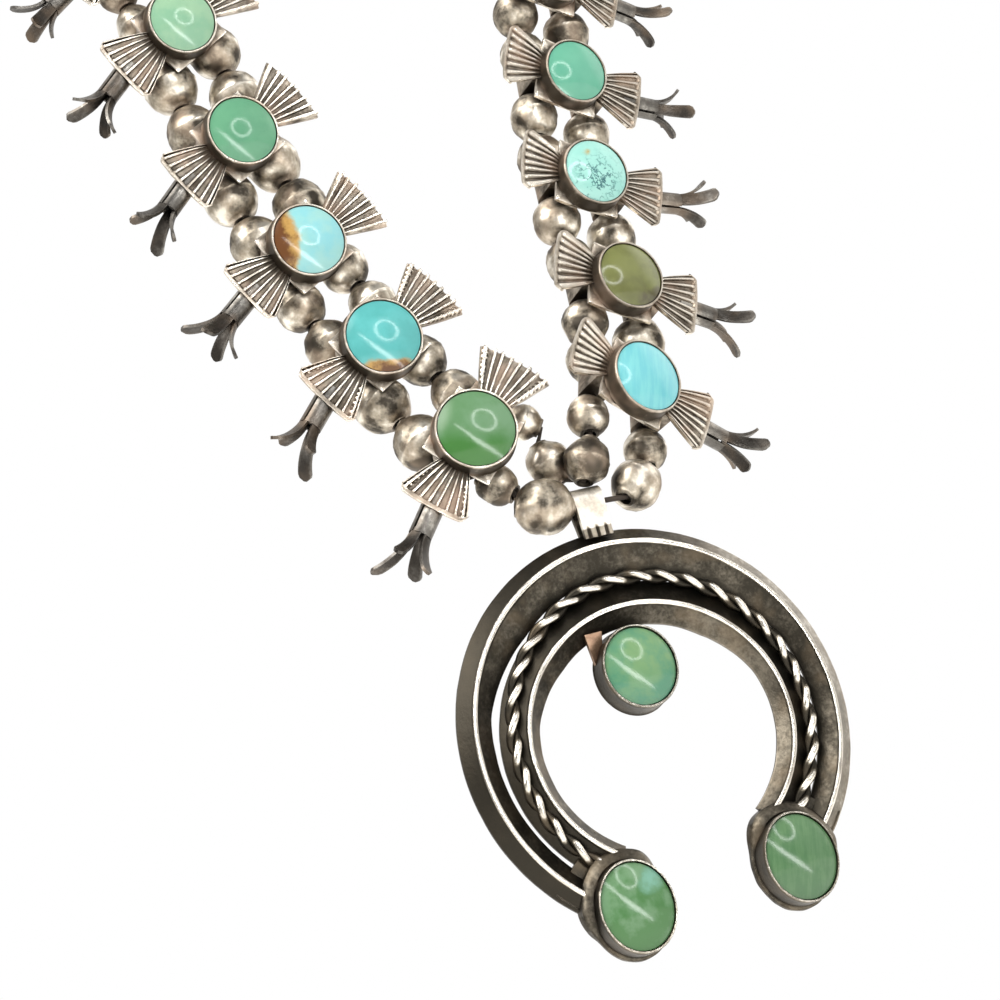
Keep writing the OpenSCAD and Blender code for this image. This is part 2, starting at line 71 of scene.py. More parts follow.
# The crescent's depth and top edge, the bail's axis and how far forward the close beads start, in metres
CRESCENT_Y, CRESCENT_TOP = -0.1293, -0.2347
BAIL_AXIS = Vector((0, -0.1306, -0.2289))
CLOSE_Y = -0.095

# Camera, from the sizes of things in the photo
CAMERA_AT = Vector((-0.12951, -0.44332, -0.31242))
CAMERA_TURN, CAMERA_TILT, CAMERA_ROLL = (math.radians(a) for a in (-20.14, -14.65, -17.91))
CAMERA_LENS = 72.35
forward = Vector((-math.sin(CAMERA_TURN) * math.cos(CAMERA_TILT),
                  math.cos(CAMERA_TURN) * math.cos(CAMERA_TILT), -math.sin(CAMERA_TILT)))
level = forward.cross(Vector((0, 0, 1))).normalized()
rise = level.cross(forward)
seen_right = level * math.cos(CAMERA_ROLL) + rise * math.sin(CAMERA_ROLL)
seen_up = rise * math.cos(CAMERA_ROLL) - level * math.sin(CAMERA_ROLL)


# Places read from the CAD nodes
def points(name):
    """The different corner points of a CAD node."""
    mesh = nodes[name].data
    co = np.empty(len(mesh.vertices) * 3)
    mesh.vertices.foreach_get("co", co)
    return np.unique(np.round(co.reshape(-1, 3), 7), axis=0)


def frame_matrix(origin, x, y, z):
    """Takes millimetres along x, y and z from origin to places in metres."""
    m = Matrix.Identity(4)
    for column, axis in enumerate((x, y, z)):
        for row in range(3):
            m[row][column] = axis[row] * MM
    m.translation = origin
    return m


def station_place(side, i):
    """A station's own frame and its stone's radius in millimetres."""
    stone, body = points(f"stone_{side}{i}"), points(f"station_{side}{i}")
    middle = (stone.min(0) + stone.max(0)) / 2
    mean = stone.mean(0)
    normal = np.linalg.svd(stone - mean)[2][2]
    if normal @ (mean - body.mean(0)) < 0:
        normal = -normal
    height = (stone - mean) @ normal
    rim = stone[np.abs(height - height.min()) < RIM_DEPTH]
    centre = rim.mean(0)
    radius = np.linalg.norm(rim - centre, axis=1).max()
    off = body - centre
    off = off - np.outer(off @ normal, normal)
    far = off[np.linalg.norm(off, axis=1) > BLOSSOM_FROM]
    out = far.mean(0)
    out = out / np.linalg.norm(out)
    along = np.cross(out, normal)
    origin = centre - normal * STONE_BASE * MM
    return frame_matrix(Vector(origin), Vector(along), Vector(out), Vector(normal)), radius / MM


def loose_parts(name):
    """Each bead of a string: its middle, its axis and its half length, in metres."""
    bm = bmesh.new()
    bm.from_mesh(nodes[name].data)
    bmesh.ops.remove_doubles(bm, verts=bm.verts, dist=1e-6)
    seen, found = set(), []
    for first in bm.verts:
        if first in seen:
            continue
        seen.add(first)
        stack, part = [first], []
        while stack:
            v = stack.pop()
            part.append(v.co.copy())
            for e in v.link_edges:
                w = e.other_vert(v)
                if w not in seen:
                    seen.add(w)
                    stack.append(w)
        co = np.array(part)
        middle = co.mean(0)
        values, axes = np.linalg.eigh(np.cov((co - middle).T))
        odd = [abs(values[k] - values[(k + 1) % 3]) + abs(values[k] - values[(k + 2) % 3]) for k in range(3)]
        axis = axes[:, int(np.argmax(odd))]
        if axis[int(np.argmax(np.abs(axis)))] < 0:
            axis = -axis
        run = (co - middle) @ axis
        found.append((Vector(middle), Vector(axis), (run.max() - run.min()) / 2))
    found.sort(key=lambda part: (round(part[0].z, 5), part[0].x))
    bm.free()
    return found


# Building pieces
def wear_and_light_layer(bm):
    """The layer that says how bright each spot is painted, from about 0 in the dark to 1 on a polished edge:
    mostly how rubbed it is, and on the crescent's bands, its rope and the bail also painted shade, painted
    highlights and painted reflections.
    """
    return bm.verts.layers.float.get("worn") or bm.verts.layers.float.new("worn")


def finish(bm, name, body, material, replaced=(), sharp=38):
    """Turns a bmesh in metres into a named piece with soft shading and crisp edges."""
    bmesh.ops.recalc_face_normals(bm, faces=bm.faces)
    for f in bm.faces:
        f.smooth = True
    for e in bm.edges:
        if len(e.link_faces) == 2 and e.calc_face_angle(0) > math.radians(sharp):
            e.smooth = False
    mesh = bpy.data.meshes.new(name)
    bm.to_mesh(mesh)
    bm.free()
    mesh.materials.append(material)
    obj = bpy.data.objects.new(name, mesh)
    scene.collection.objects.link(obj)
    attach(obj, body)
    if replaced:
        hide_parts(*replaced)


def join(bm, part, matrix=None):
    """Adds a finished part to bm, moved by matrix."""
    if matrix is not None:
        bmesh.ops.transform(part, matrix=matrix, verts=part.verts)
    mesh = bpy.data.meshes.new("part")
    part.to_mesh(mesh)
    part.free()
    bm.from_mesh(mesh)
    bpy.data.meshes.remove(mesh)


def lathe(profile, steps, sweep=360.0, closed=False):
    """Spins a profile of (radius, height, worn) about z."""
    bm = bmesh.new()
    worn = wear_and_light_layer(bm)
    ring = []
    for r, z, w in profile:
        v = bm.verts.new((r, 0, z))
        v[worn] = w
        ring.append(v)
    edges = [bm.edges.new(pair) for pair in zip(ring, ring[1:])]
    if closed:
        edges.append(bm.edges.new((ring[-1], ring[0])))
    bmesh.ops.spin(bm, geom=ring + edges, cent=(0, 0, 0), axis=(0, 0, 1), angle=math.radians(sweep),
                   steps=steps, use_duplicate=False)
    if sweep == 360:
        bmesh.ops.remove_doubles(bm, verts=bm.verts, dist=1e-4)
    else:
        bmesh.ops.holes_fill(bm, edges=[e for e in bm.edges if e.is_boundary], sides=40)
    return bm


def sheet(across, down, shape, thickness=0.0, flat_back=False):
    """A grid bent by shape(u, v) -> (point, worn), u and v from 0 to 1, made as thick as a sheet of metal."""
    bm = bmesh.new()
    bmesh.ops.create_grid(bm, x_segments=across, y_segments=down, size=0.5)
    worn = wear_and_light_layer(bm)
    for v in bm.verts:
        p, w = shape(v.co.x + 0.5, v.co.y + 0.5)
        v.co = p
        v[worn] = w
    if thickness and flat_back:
        grown = bmesh.ops.extrude_face_region(bm, geom=bm.faces[:])["geom"]
        back = [v for v in grown if isinstance(v, bmesh.types.BMVert)]
        bmesh.ops.translate(bm, vec=(0, 0, -thickness), verts=back)
    elif thickness:
        bmesh.ops.recalc_face_normals(bm, faces=bm.faces)
        bmesh.ops.solidify(bm, geom=bm.faces[:], thickness=thickness)
    return bm


def tube(path, radius, sides, wear_and_light_by):
    """A wire along the points of path, as a grid rolled round it, with the brightness that the last argument
    gives each place.
    """
    steps = len(path) - 1
    bm = bmesh.new()
    bmesh.ops.create_grid(bm, x_segments=sides, y_segments=steps, size=0.5)
    worn = wear_and_light_layer(bm)
    for v in bm.verts:
        k = round((v.co.y + 0.5) * steps)
        a = (v.co.x + 0.5) * 2 * math.pi
        t = (path[min(k + 1, steps)] - path[max(k - 1, 0)]).normalized()
        n = (Vector((0, 0, 1)) - t * t.z).normalized()
        s = t.cross(n)
        v.co = path[k] + (n * math.cos(a) + s * math.sin(a)) * radius
        v[worn] = wear_and_light_by(v.co)
    bmesh.ops.remove_doubles(bm, verts=bm.verts, dist=radius * 0.02)
    bmesh.ops.holes_fill(bm, edges=[e for e in bm.edges if e.is_boundary], sides=sides)
    return bm


def knocked(bm, amount, size, seed):
    """Small dents and unevenness from hand work, in the part's own millimetres."""
    bmesh.ops.recalc_face_normals(bm, faces=bm.faces)
    bm.normal_update()
    shift = Vector((seed * 7.3, seed * 3.1, seed * 5.7))
    for v in bm.verts:
        v.co += v.normal * noise.noise(v.co / size + shift) * amount
    return bm


# Materials
def group(name, inputs, outputs):
    """A shader node group with its input and output nodes."""
    tree = bpy.data.node_groups.new(name, "ShaderNodeTree")
    for label, kind, value in inputs:
        socket = tree.interface.new_socket(label, in_out="INPUT", socket_type=kind)
        if value is not None:
            socket.default_value = value
    for label, kind in outputs:
        tree.interface.new_socket(label, in_out="OUTPUT", socket_type=kind)
    return tree, tree.nodes.new("NodeGroupInput"), tree.nodes.new("NodeGroupOutput")


def put(tree, kind, **settings):
    """Adds a node, with its settings and the values of its inputs."""
    node = tree.nodes.new(kind)
    for key, value in settings.items():
        if key == "inputs":
            for socket, v in value.items():
                node.inputs[socket].default_value = v
        else:
            setattr(node, key, value)
    return node


def sums(tree, how, a, b, clamp=False):
    """One step of arithmetic on two sockets or numbers."""
    node = put(tree, "ShaderNodeMath", operation=how, use_clamp=clamp)
    for k, value in enumerate((a, b)):
        if isinstance(value, bpy.types.NodeSocket):
            tree.links.new(value, node.inputs[k])
        else:
            node.inputs[k].default_value = value
    return node.outputs[0]


def ranged(tree, value, low, high, to_low=0.0, to_high=1.0):
    """Takes low to to_low and high to to_high, softly."""
    node = put(tree, "ShaderNodeMapRange", inputs={1: low, 2: high, 3: to_low, 4: to_high})
    node.interpolation_type = "SMOOTHSTEP"
    tree.links.new(value, node.inputs[0])
    return node.outputs[0]


def mixed(tree, factor, a, b):
    """Colour a where factor is 0 and b where it is 1."""
    node = put(tree, "ShaderNodeMix", data_type="RGBA")
    for socket, value in ((node.inputs[0], factor), (node.inputs[6], a), (node.inputs[7], b)):
        if isinstance(value, bpy.types.NodeSocket):
            tree.links.new(value, socket)
        else:
            socket.default_value = value if isinstance(value, float) else (*value, 1)
    return node.outputs[2]


def noise_of(tree, vector, scale, detail=3.0, rough=0.55):
    """Cloudy noise from 0 to 1."""
    node = put(tree, "ShaderNodeTexNoise", inputs={"Scale": scale, "Detail": detail, "Roughness": rough})
    tree.links.new(vector, node.inputs["Vector"])
    return node.outputs["Fac"]


def patina_group():
    """How bright each spot of old silver is, from the Worn input (wear on high edges, and in places painted
    shade, painted highlights and painted reflections), dirt in hollows, and fine dents.
    """
    tree, inside, out = group(
        "old silver wear",
        [("Vector", "NodeSocketVector", None), ("Worn", "NodeSocketFloat", 0.5),
         ("Dirt", "NodeSocketFloat", 0.5), ("Blotch", "NodeSocketFloat", 0.5)],
        [("Shine", "NodeSocketFloat"), ("Warmth", "NodeSocketFloat"), ("Height", "NodeSocketFloat")])
    large = noise_of(tree, inside.outputs["Vector"], 260.0, 3.0)
    small = noise_of(tree, inside.outputs["Vector"], 1400.0, 4.0, 0.65)
    hollow = put(tree, "ShaderNodeAmbientOcclusion", samples=6, inputs={"Distance": 0.0022})
    open_part = ranged(tree, hollow.outputs["AO"], 0.35, 0.95)
    blotches = sums(tree, "MULTIPLY", sums(tree, "SUBTRACT", large, 0.5), inside.outputs["Blotch"])
    specks = sums(tree, "MULTIPLY", sums(tree, "SUBTRACT", small, 0.5), 0.55)
    shine = sums(tree, "ADD", inside.outputs["Worn"], sums(tree, "MULTIPLY", blotches, 2.2))
    shine = sums(tree, "ADD", shine, specks)
    dark = sums(tree, "MULTIPLY", sums(tree, "SUBTRACT", 1.0, open_part), inside.outputs["Dirt"])
    shine = sums(tree, "SUBTRACT", shine, dark, clamp=True)
    tree.links.new(shine, out.inputs["Shine"])
    warm = ranged(tree, noise_of(tree, inside.outputs["Vector"], 150.0, 2.0), 0.45, 0.7)
    tree.links.new(warm, out.inputs["Warmth"])
    tree.links.new(sums(tree, "ADD", small, sums(tree, "MULTIPLY", large, 1.5)), out.inputs["Height"])
    return tree


PATINA = patina_group()


def silver(name, bright, middle, dark, warm, dirt=0.9, blotch=0.5, rough=(0.24, 0.5), bump=0.12):
    """Worn silver: its colours where rubbed, between and in the dark, and a warm tint where it is rubbed.

    Rough is the roughness where rubbed and in the dark."""
    material = bpy.data.materials.new(name)
    material.use_nodes = True
    tree = material.node_tree
    shader = tree.nodes["Principled BSDF"]
    place = put(tree, "ShaderNodeTexCoord")
    moved = put(tree, "ShaderNodeMapping")
    tree.links.new(place.outputs["Object"], moved.inputs["Vector"])
    mark = put(tree, "ShaderNodeAttribute", attribute_name="worn")
    wear = put(tree, "ShaderNodeGroup", node_tree=PATINA, inputs={"Dirt": dirt, "Blotch": blotch})
    tree.links.new(moved.outputs[0], wear.inputs["Vector"])
    tree.links.new(mark.outputs["Fac"], wear.inputs["Worn"])
    shine = wear.outputs["Shine"]
    low = mixed(tree, ranged(tree, shine, 0.0, 0.5), dark, middle)
    colour = mixed(tree, ranged(tree, shine, 0.42, 0.95), low, bright)
    share = ranged(tree, mark.outputs["Fac"], -0.3, 0.0, 0.05, 0.45)
    tint = sums(tree, "MULTIPLY", wear.outputs["Warmth"], share)
    tree.links.new(mixed(tree, tint, colour, warm), shader.inputs["Base Color"])
    tree.links.new(ranged(tree, shine, 0.1, 0.9, rough[1], rough[0]), shader.inputs["Roughness"])
    relief = put(tree, "ShaderNodeBump", inputs={"Strength": bump, "Distance": 0.0002})
    tree.links.new(wear.outputs["Height"], relief.inputs["Height"])
    tree.links.new(relief.outputs[0], shader.inputs["Normal"])
    shader.inputs["Metallic"].default_value = 1.0
    return material


def stone_group():
    """Cut stone: two colours in clouds, a patch of rock with a gold rim, dark flecks and faint streaks."""
    tree, inside, out = group(
        "stone colours",
        [("Vector", "NodeSocketVector", None), ("Disc", "NodeSocketVector", None),
         ("Main", "NodeSocketColor", None), ("Deep", "NodeSocketColor", None),
         ("Gold", "NodeSocketColor", None), ("Rock", "NodeSocketColor", None),
         ("Place", "NodeSocketVector", None), ("Spread", "NodeSocketVector", None),
         ("Size", "NodeSocketFloat", 0.0), ("Clouds", "NodeSocketFloat", 0.5),
         ("Fall", "NodeSocketFloat", 0.0), ("Flecks", "NodeSocketFloat", 0.0),
         ("Streaks", "NodeSocketFloat", 0.0)],
        [("Color", "NodeSocketColor"), ("Height", "NodeSocketFloat")])
    vector = inside.outputs["Vector"]
    cloudy = noise_of(tree, vector, 210.0, 4.0, 0.6)
    fine = noise_of(tree, vector, 430.0, 5.0, 0.62)
    split = put(tree, "ShaderNodeSeparateXYZ")
    tree.links.new(inside.outputs["Disc"], split.inputs[0])
    fall = sums(tree, "MULTIPLY", ranged(tree, split.outputs["Y"], 0.35, -0.55), inside.outputs["Fall"])
    drawn = put(tree, "ShaderNodeVectorMath", operation="MULTIPLY", inputs={1: (6.0, 0.7, 1.0)})
    tree.links.new(inside.outputs["Disc"], drawn.inputs[0])
    lines = ranged(tree, noise_of(tree, drawn.outputs[0], 1.3, 4.0, 0.6), 0.4, 0.62)
    streak = sums(tree, "MULTIPLY", lines, inside.outputs["Streaks"])
    clouds = sums(tree, "MULTIPLY", ranged(tree, cloudy, 0.36, 0.66), inside.outputs["Clouds"])
    amount = sums(tree, "ADD", clouds, fall)
    amount = sums(tree, "ADD", amount, streak, clamp=True)
    body = mixed(tree, amount, inside.outputs["Main"], inside.outputs["Deep"])
    away = put(tree, "ShaderNodeVectorMath", operation="SUBTRACT")
    tree.links.new(inside.outputs["Disc"], away.inputs[0])
    tree.links.new(inside.outputs["Place"], away.inputs[1])
    shaped = put(tree, "ShaderNodeVectorMath", operation="MULTIPLY")
    tree.links.new(away.outputs[0], shaped.inputs[0])
    tree.links.new(inside.outputs["Spread"], shaped.inputs[1])
    length = put(tree, "ShaderNodeVectorMath", operation="LENGTH")
    tree.links.new(shaped.outputs[0], length.inputs[0])
    near = sums(tree, "SUBTRACT", inside.outputs["Size"], length.outputs["Value"])
    ragged = sums(tree, "ADD", near, sums(tree, "MULTIPLY", sums(tree, "SUBTRACT", cloudy, 0.5), 0.7))
    inner = sums(tree, "ADD", ragged, sums(tree, "MULTIPLY", sums(tree, "SUBTRACT", fine, 0.5), 1.1))
    earth = mixed(tree, ranged(tree, inner, 0.0, 0.38), inside.outputs["Gold"], inside.outputs["Rock"])
    colour = mixed(tree, ranged(tree, ragged, -0.1, 0.12), body, earth)
    veins = sums(tree, "ABSOLUTE", sums(tree, "SUBTRACT", fine, 0.5), 0.0)
    middle = put(tree, "ShaderNodeVectorMath", operation="DISTANCE", inputs={1: (0.25, -0.1, 0)})
    tree.links.new(inside.outputs["Disc"], middle.inputs[0])
    apart = sums(tree, "ADD", middle.outputs["Value"], sums(tree, "MULTIPLY", cloudy, 0.9))
    cluster = ranged(tree, apart, 1.55, 0.6)
    fleck = sums(tree, "MULTIPLY", sums(tree, "MULTIPLY", ranged(tree, veins, 0.03, 0.012), cluster),
                 inside.outputs["Flecks"])
    tree.links.new(mixed(tree, fleck, colour, (0.03, 0.10, 0.11)), out.inputs["Color"])
    tree.links.new(cloudy, out.inputs["Height"])
    return tree


STONES = stone_group()
NO_ROCK = ((0.3, 0.2, 0.06), (0.1, 0.05, 0.02), (0, 0), (1, 1), -2.0)


def stone_material(name, main, deep, clouds=0.6, rock=NO_ROCK, fall=0.0, flecks=0.0, streaks=0.0):
    """Rock is a patch's rim colour, inner colour, place, spread and size, with places as in add_disc.

    Fall is how much the deep colour gains towards the lower edge."""
    gold, brown, place, spread, size = rock
    material = bpy.data.materials.new(name)
    material.use_nodes = True
    tree = material.node_tree
    shader = tree.nodes["Principled BSDF"]
    coords = put(tree, "ShaderNodeTexCoord")
    moved = put(tree, "ShaderNodeMapping")
    tree.links.new(coords.outputs["Object"], moved.inputs["Vector"])
    disc = put(tree, "ShaderNodeAttribute", attribute_name="disc")
    look = put(tree, "ShaderNodeGroup", node_tree=STONES, inputs={
        "Main": (*main, 1), "Deep": (*deep, 1), "Gold": (*gold, 1), "Rock": (*brown, 1),
        "Place": (*place, 0), "Spread": (*spread, 0), "Size": size,
        "Clouds": clouds, "Fall": fall, "Flecks": flecks, "Streaks": streaks})
    tree.links.new(moved.outputs[0], look.inputs["Vector"])
    tree.links.new(disc.outputs["Vector"], look.inputs["Disc"])
    tree.links.new(look.outputs["Color"], shader.inputs["Base Color"])
    shader.inputs["Roughness"].default_value = 0.12
    shader.inputs["IOR"].default_value = 1.5
    waves = put(tree, "ShaderNodeBump", inputs={"Strength": 0.35, "Distance": 0.00008})
    tree.links.new(look.outputs["Height"], waves.inputs["Height"])
    tree.links.new(waves.outputs[0], shader.inputs["Normal"])
    return material


def plain(name, colour, rough):
    """One even, dull colour."""
    material = bpy.data.materials.new(name)
    material.use_nodes = True
    shader = material.node_tree.nodes["Principled BSDF"]
    shader.inputs["Base Color"].default_value = (*colour, 1)
    shader.inputs["Roughness"].default_value = rough
    return material


SILVER = silver("worn silver", (0.90, 0.85, 0.76), (0.43, 0.38, 0.315), (0.065, 0.053, 0.04),
                (0.50, 0.37, 0.28))
BEAD_SILVER = silver("bead silver", (0.93, 0.88, 0.78), (0.40, 0.355, 0.285), (0.06, 0.052, 0.042),
                     (0.46, 0.36, 0.27), dirt=0.7, blotch=0.9, rough=(0.3, 0.5), bump=0.08)
CRESCENT_SILVER = silver("crescent silver", (0.86, 0.82, 0.74), (0.19, 0.168, 0.133), (0.038, 0.034, 0.027),
                         (0.16, 0.125, 0.085), dirt=0.5, blotch=0.28, rough=(0.2, 0.42), bump=0.25)
BAIL_SILVER = silver("rubbed bail silver", (0.80, 0.765, 0.69), (0.33, 0.29, 0.235), (0.06, 0.05, 0.04),
                     (0.6, 0.5, 0.4), dirt=0.6, rough=(0.42, 0.5))
BLOSSOM_SILVER = silver("dark blossom silver", (0.62, 0.60, 0.55), (0.15, 0.142, 0.13), (0.05, 0.045, 0.04),
                        (0.24, 0.18, 0.13), dirt=0.5, rough=(0.25, 0.42))
COPPERY = silver("coppery solder", (0.70, 0.50, 0.36), (0.36, 0.235, 0.16), (0.11, 0.07, 0.045),
                 (0.5, 0.31, 0.2))
THREAD = plain("dark cord", (0.035, 0.026, 0.019), 0.85)


# Station parts
def bezel(radius, low, top, wide=1.0, steps=72):
    """A stone's cup with a rubbed, turned-in rim, from low to top."""
    wall = radius + STONE_GAP + CUP_WALL
    bm = lathe([(wall + 0.25, low, 0.0), (wall + 0.1, low + 0.25, -0.1), (wall, low + 0.6, -0.15),
                (wall, top - 0.7, -0.12), (wall, top - 0.3, 0.1), (wall - 0.14, top, 0.6),
                (wall - 0.38, top, 0.6), (wall - 0.48, top - 0.15, 0.2), (radius + 0.08, top - 0.6, 0.0),
                (radius + 0.08, low, 0.0)], steps)
    bmesh.ops.scale(bm, vec=(wide, 1, 1), verts=bm.verts)
    return bm


def dome(radius, girdle, height, wide=1.0, steps=72):
    """A cabochon: an upright girdle and a shallow round top of that height above it."""
    ball = (radius * radius + height * height) / (2 * height)
    rows = 14
    top = math.asin(radius / ball)
    profile = [(radius - 0.25, 0, 0), (radius, 0.2, 0)]
    for k in range(rows + 1):
        a = top * (1 - k / rows)
        profile.append((max(ball * math.sin(a), 0.0), girdle + height - ball + ball * math.cos(a), 0))
    profile[-1] = (0.0, girdle + height, 0)
    bm = lathe(profile, steps)
    bmesh.ops.holes_fill(bm, edges=[e for e in bm.edges if e.is_boundary], sides=steps)
    bmesh.ops.scale(bm, vec=(wide, 1, 1), verts=bm.verts)
    return bm


def add_disc(bm, matrix, radius):
    """Marks each spot's place on the stone as it is seen in the photo, from -1 to 1 to the right and up."""
    layer = bm.verts.layers.float_vector.new("disc")
    origin = matrix @ Vector((0, 0, STONE_BASE))
    for v in bm.verts:
        d = (v.co - origin) / (radius * MM)
        v[layer] = Vector((d.dot(seen_right), d.dot(seen_up), 0))


def plate():
    """Square plate with edges that slope down and small creased corners."""
    half, slope = PLATE_W / 2, 1.9

    def shape(u, v):
        x, y = (u - 0.5) * PLATE_W, (v - 0.5) * PLATE_W
        corner = max(abs(x) / half + abs(y) / half - 1.25, 0)
        edge = max(max(abs(x), abs(y)) - (half - slope), 0) / slope
        crease = corner * (0.5 - abs(abs(x) - abs(y)) / half)
        z = PLATE_TOP - 0.45 * edge ** 1.5 + max(crease, 0) * 0.9
        return Vector((x, y, z)), 0.3 + 0.35 * (edge > 0.95) + max(crease, 0) * 0.8

    return sheet(28, 28, shape, 0.7, True)


# Fans: reach, how far a smooth border stands up, bow of the edge, droop, how narrow the ridges are, and the
# border's start at the sides as a share of half the width. Without a border the ridges run out to the edge.
FANS = {
    (LEFT, "outer"): (FAN_REACH, 0.9, 0.5, 0.25, 8.0, 0.965),
    (LEFT, "inner"): (16.4, 0.0, 0.7, 0.1, 7.1, 0.965),
    (RIGHT, "outer"): (FAN_REACH, 0.9, 0.5, 0.25, 7.1, 0.965),
    (RIGHT, "inner"): (14.8, 0.9, 0.7, 0.1, 5.5, 0.93),
}
RIM_FROM, TEETH, TEETH_IN, TEETH_OUT = 0.91, 11, 0.38, 0.47


def fan(root, serrated, seed, reach, border_h, bow, droop, slim, side_from):
    """Fan of filed ridges that spread from the cup. A serrated one has a row of teeth along each side."""
    rng = random.Random(seed)
    skew = rng.uniform(-0.25, 0.25)
    shift = [rng.uniform(-0.012, 0.012) for _ in range(RIDGES)]
    tall = [rng.uniform(0.75, 1.0) for _ in range(RIDGES)]

    def shape(u, v):
        k = min(int(u * RIDGES), RIDGES - 1)
        inside = u * RIDGES - k - 0.5
        s = u - 0.5
        ridge = tall[k] * max(0.0, min(1.0, 1.9 - abs(inside) * slim)) * min(1.0, 0.25 + v * 2.5)
        edge = reach - 1.1 + bow * (1 - (2 * s) ** 2) + skew * s
        if not border_h:
            edge += 0.5 * ridge - 0.35
        y = root + (edge - root) * v
        x = (s + shift[k] * v) * (FAN_ROOT + (FAN_W - FAN_ROOT) * v ** 0.85)
        if border_h:
            corner = max(abs(s) * 2 - 0.8, 0) / 0.2 * max(v - 0.84, 0) / 0.16
            y -= 1.5 * corner ** 2
            x *= 1 - 0.05 * corner
        border = border_h * max(abs(s) * 2 > side_from, v > RIM_FROM)
        worn = 0.33 + 0.65 * ridge
        if border_h and v > RIM_FROM:
            ridge, worn = 0.0, 0.36 + 0.3 * (v > 0.98)
        if serrated and TEETH_IN < abs(s) < TEETH_OUT and ridge < 0.3 and v > 0.3:
            ridge, worn = (0.5, 0.8) if math.cos(v * 2 * math.pi * TEETH) > 0.1 else (0.0, 0.05)
        z = PLATE_TOP + 0.3 + 0.5 * max(ridge, border) - droop * v * v
        return Vector((x, y, z)), max(worn, (0.62 if v < 0.9 else 0.36) * (border > 0))

    return sheet(RIDGES * 8, 40 if serrated else 20, shape, 0.6, True)


def stem():
    """Rolled tube, open along one side, that starts under the fan and carries the petals."""
    bm = bmesh.new()
    length = STEM_LEN + STEM_BACK
    bmesh.ops.create_cone(bm, cap_ends=False, segments=28, radius1=STEM_D / 2, radius2=STEM_D / 2 * 0.98,
                          depth=length)
    slit = []
    for f in bm.faces:
        middle = f.calc_center_median()
        if abs(math.degrees(math.atan2(middle.y, middle.x)) + 45) < 11:
            slit.append(f)
    bmesh.ops.delete(bm, geom=slit, context="FACES")
    bmesh.ops.recalc_face_normals(bm, faces=bm.faces)
    bmesh.ops.solidify(bm, geom=bm.faces[:], thickness=STEM_WALL)
    worn = wear_and_light_layer(bm)
    for v in bm.verts:
        v[worn] = 0.35 + 0.35 * (v.co.z < -1.5)
    bmesh.ops.translate(bm, vec=(0, 0, FAN_REACH - STEM_BACK + length / 2), verts=bm.verts)
    return bm


def petal(turn, curl, width, twist, tip):
    """One petal that curls away from the stem, with turn and twist in degrees. Tip is how far it reaches."""
    start = STEM_D / 2 - PETAL_T + 0.1

    def shape(u, v):
        a = math.radians(turn) * v
        s = u - 0.5
        round_tip = math.sqrt(max(1 - max((v - 0.86) / 0.14, 0) ** 2, 0.05))
        w = width * (0.92 + 0.25 * v) * round_tip
        side = s * w
        cup = 0.16 * (2 * s) ** 2 * (1 - v)
        x = start + curl - curl * math.cos(a) + PETAL_T * 0.5 - cup
        z = -0.8 + curl * math.sin(a) * tip
        bend = math.radians(twist) * v
        return Vector((x, side * math.cos(bend), z + side * math.sin(bend))), 0.1 + 0.25 * (abs(s) > 0.4)

    bm = sheet(6, 16, shape, STEM_WALL)
    bmesh.ops.translate(bm, vec=(0, 0, FAN_REACH + STEM_LEN), verts=bm.verts)
    return bm


def blossom(seed, hang, quarter):
    """Stem and four petals that hang sideways and are turned about the stem, both in degrees."""
    rng = random.Random(seed)
    bm = bmesh.new()
    wear_and_light_layer(bm)
    join(bm, stem())
    for k in range(4):
        part = petal(PETAL_TURN * rng.uniform(0.75, 1.1), PETAL_CURL * rng.uniform(0.9, 1.1),
                     PETAL_W * rng.uniform(1.05, 1.3), rng.uniform(-12, 12), rng.uniform(0.8, 1.05))
        join(bm, part, Matrix.Rotation(math.radians(90 * k + quarter + rng.uniform(-14, 14)), 4, "Z"))
    turn = Matrix.Rotation(math.radians(-90), 4, "X")
    root = Matrix.Translation((0, FAN_REACH - 3, 0))
    swung = root @ Matrix.Rotation(math.radians(hang), 4, "Z") @ root.inverted()
    height = Matrix.Translation((0, 0, PLATE_TOP - STEM_D / 2 + 0.3))
    bmesh.ops.transform(bm, matrix=height @ swung @ turn, verts=bm.verts)
    return bm


def straps(name, matrix):
    """The straps behind the plate, kept from the CAD station by cutting the rest away."""
    bm = bmesh.new()
    bm.from_mesh(nodes[name].data)
    bmesh.ops.remove_doubles(bm, verts=bm.verts, dist=1e-6)
    bmesh.ops.transform(bm, matrix=matrix.inverted(), verts=bm.verts)
    bmesh.ops.bisect_plane(bm, geom=bm.verts[:] + bm.edges[:] + bm.faces[:], plane_co=(0, 0, PLATE_Z + 0.2),
                           plane_no=(0, 0, 1), clear_outer=True)
    stray = [v for v in bm.verts if abs(v.co.y) > STRAP_REACH]
    bmesh.ops.delete(bm, geom=stray, context="VERTS")
    worn = wear_and_light_layer(bm)
    for v in bm.verts:
        v[worn] = 0.25
    return bm


# How far each bent blossom hangs sideways and how its petals are turned, in degrees
BENT = {"l1": (6, 35), "l2": (14, 45), "l3": (10, 20), "l4": (12, 30), "l5": (12, 40),
        "r1": (4, -6), "r2": (0, 4), "r3": (12, 0), "r4": (10, 10)}


